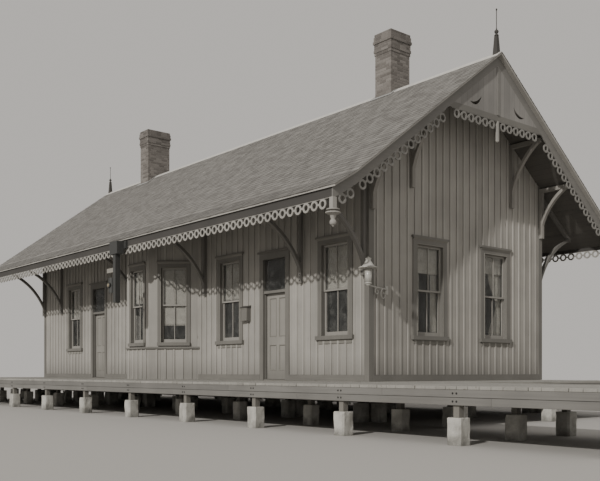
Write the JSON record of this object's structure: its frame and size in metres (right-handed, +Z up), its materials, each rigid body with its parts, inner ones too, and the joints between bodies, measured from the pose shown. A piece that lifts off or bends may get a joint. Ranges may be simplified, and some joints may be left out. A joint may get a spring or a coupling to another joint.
{
  "type": "railway station building",
  "caption": "Wooden wayside station on stone piers: gabled roof with wide bracketed eaves and ring fretwork, bay window, two doors and a timber platform.",
  "frame": {"origin": "on the ground, under the middle of the whole building and platform", "axes": "+X along the building to its near gable, +Y away from the track, +Z up"},
  "size_m": [27.2224, 11.3008, 9.95],
  "materials": {
    "stone": "rough pale stone block",
    "platform_timber": "weathered sawn timber",
    "deck_planks": "weathered planks",
    "frame_timber": "rough sawn timber",
    "siding": "painted boards and battens, weathered",
    "floor_planks": "worn floor boards",
    "trim_paint": "painted trim, weathered",
    "sash_paint": "painted sash",
    "window_glass": "old window glass",
    "door_paint": "painted panelled door",
    "dark_iron": "blackened iron",
    "roof_shingles": "weathered shingles",
    "ridge_metal": "painted sheet metal",
    "dark_trim": "dark painted trim",
    "fretwork_paint": "pale painted fretwork",
    "bracket_paint": "painted timber bracket",
    "brick": "weathered brick in lime mortar",
    "lamp_metal": "pale painted sheet metal",
    "signal_metal": "dark painted metal"
  },
  "bodies": {
    "station": {"platform_piers": "stone", "platform_posts": "platform_timber", "platform_stringers": "platform_timber", "platform_deck": "deck_planks", "end_walkways": "deck_planks", "building_piers": "stone", "sill_beams": "frame_timber", "floor_joists": "frame_timber", "skirt_boards": "siding", "floor_boards": "floor_planks", "track_wall_near": "siding", "track_wall_mid_near": "siding", "track_wall_mid_far": "siding", "track_wall_far": "siding", "door_head_walls": "siding", "bay_header": "siding", "back_wall": "siding", "near_gable_wall": "siding", "far_gable_wall": "siding", "bay_side_walls": "siding", "bay_front_wall": "siding", "bay_ledge": "trim_paint", "corner_boards": "trim_paint", "base_boards": "trim_paint", "track_window_frames": "trim_paint", "back_window_frames": "trim_paint", "gable_window_frames": "trim_paint", "bay_window_frames": "trim_paint", "window_sashes": "sash_paint", "window_glass": "window_glass", "door_frames": "trim_paint", "transom_glass": "window_glass", "door_hinge_pins": "dark_iron", "roof_front_slope": "roof_shingles", "roof_back_slope": "roof_shingles", "ridge_cap": "ridge_metal", "eave_fascias": "dark_trim", "rake_boards": "trim_paint", "verge_boards": "fretwork_paint", "drip_boards": "fretwork_paint", "gable_screens": "siding", "gable_collars": "trim_paint", "eave_fretwork": "fretwork_paint", "gable_fretwork": "fretwork_paint", "pendants": "fretwork_paint", "eave_brackets": "bracket_paint", "gable_brackets": "bracket_paint", "chimneys": "brick", "finials": "dark_trim", "corner_lamp": "lamp_metal", "corner_lamp_arm": "dark_iron", "wall_box": "dark_trim", "order_signal": "signal_metal"},
    "door_1": {"door_1_leaf": "door_paint", "door_1_knobs": "dark_iron", "door_1_hinges": "dark_iron"},
    "door_2": {"door_2_leaf": "door_paint", "door_2_knobs": "dark_iron", "door_2_hinges": "dark_iron"}
  },
  "joints": [
    {"name": "door_1_hinge", "type": "hinge", "parent": "station", "child": "door_1", "pos_m": [2.5075, -2.4442, 1.855], "axis": [0, 0, 1], "range_deg": [0, 90]},
    {"name": "door_2_hinge", "type": "hinge", "parent": "station", "child": "door_2", "pos_m": [-6.8525, -2.4442, 1.855], "axis": [0, 0, 1], "range_deg": [0, 90]}
  ]
}
